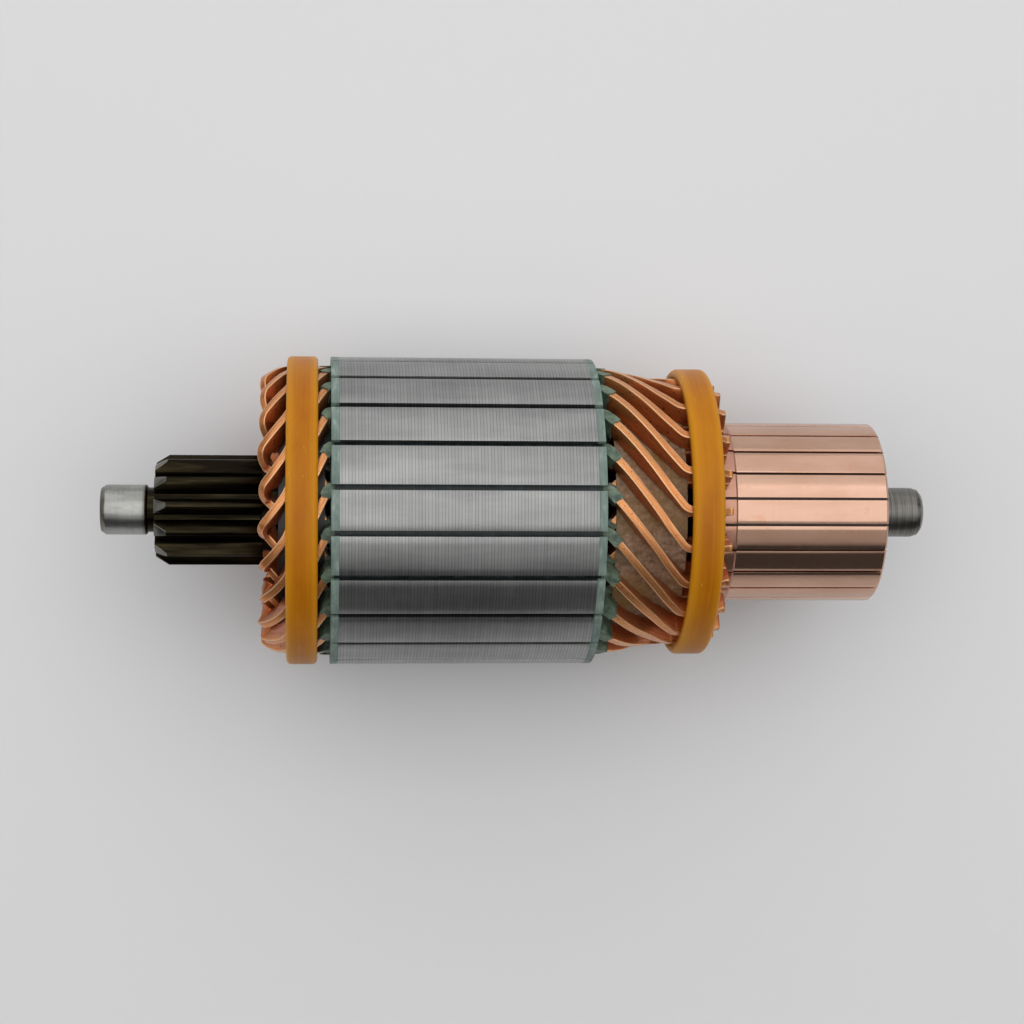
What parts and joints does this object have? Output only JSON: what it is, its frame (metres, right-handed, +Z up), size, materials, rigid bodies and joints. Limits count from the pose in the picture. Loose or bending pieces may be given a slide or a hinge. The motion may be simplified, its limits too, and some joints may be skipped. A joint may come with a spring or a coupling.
{
  "type": "motor armature",
  "caption": "Starter motor armature with a sun gear cut on its shaft, a slotted laminated core, a hairpin bar winding held by resin bands, and a copper commutator.",
  "frame": {"origin": "on the shaft's axis, at the middle of the armature's length", "axes": "+X along the shaft from the drive end towards the commutator end; +Z up through the middle of a core tooth and of a commutator bar; the armature lies on its side"},
  "size_m": [0.1564, 0.0582, 0.0582],
  "materials": {
    "shaft_steel": "ground bright on the drive-end journal, oil-dark on the gear teeth, turned grey at the commutator end",
    "lamination_steel": "turned across thin steel sheets, satin grey with fine lines round the core",
    "end_plate_resin": "matt sage green insulating sheet, turned at its rim",
    "liner_paper": "matt grey-green varnished slot paper",
    "layer_paper": "tan varnished insulating paper",
    "enamelled_copper": "copper bar under clear orange enamel, with small marks from bending",
    "commutator_copper": "fine-turned bare copper, pale and bright",
    "band_resin": "amber resin over wound glass fibre, slightly translucent",
    "hub_phenolic": "dark brown moulded phenolic"
  },
  "bodies": {
    "root": {"shaft": "shaft_steel", "lamination_core": "lamination_steel", "front_end_plate": "end_plate_resin", "rear_end_plate": "end_plate_resin", "slot_liners": "liner_paper", "front_layer_sleeve": "layer_paper", "rear_layer_sleeve": "layer_paper", "front_band": "band_resin", "rear_band": "band_resin", "commutator_hub": "hub_phenolic", "coil_01": "enamelled_copper", "coil_02": "enamelled_copper", "coil_03": "enamelled_copper", "coil_04": "enamelled_copper", "coil_05": "enamelled_copper", "coil_06": "enamelled_copper", "coil_07": "enamelled_copper", "coil_08": "enamelled_copper", "coil_09": "enamelled_copper", "coil_10": "enamelled_copper", "coil_11": "enamelled_copper", "coil_12": "enamelled_copper", "coil_13": "enamelled_copper", "coil_14": "enamelled_copper", "coil_15": "enamelled_copper", "coil_16": "enamelled_copper", "coil_17": "enamelled_copper", "coil_18": "enamelled_copper", "coil_19": "enamelled_copper", "coil_20": "enamelled_copper", "coil_21": "enamelled_copper", "coil_22": "enamelled_copper", "commutator_bar_01": "commutator_copper", "commutator_bar_02": "commutator_copper", "commutator_bar_03": "commutator_copper", "commutator_bar_04": "commutator_copper", "commutator_bar_05": "commutator_copper", "commutator_bar_06": "commutator_copper", "commutator_bar_07": "commutator_copper", "commutator_bar_08": "commutator_copper", "commutator_bar_09": "commutator_copper", "commutator_bar_10": "commutator_copper", "commutator_bar_11": "commutator_copper", "commutator_bar_12": "commutator_copper", "commutator_bar_13": "commutator_copper", "commutator_bar_14": "commutator_copper", "commutator_bar_15": "commutator_copper", "commutator_bar_16": "commutator_copper", "commutator_bar_17": "commutator_copper", "commutator_bar_18": "commutator_copper", "commutator_bar_19": "commutator_copper", "commutator_bar_20": "commutator_copper", "commutator_bar_21": "commutator_copper", "commutator_bar_22": "commutator_copper"}
  },
  "joints": []
}
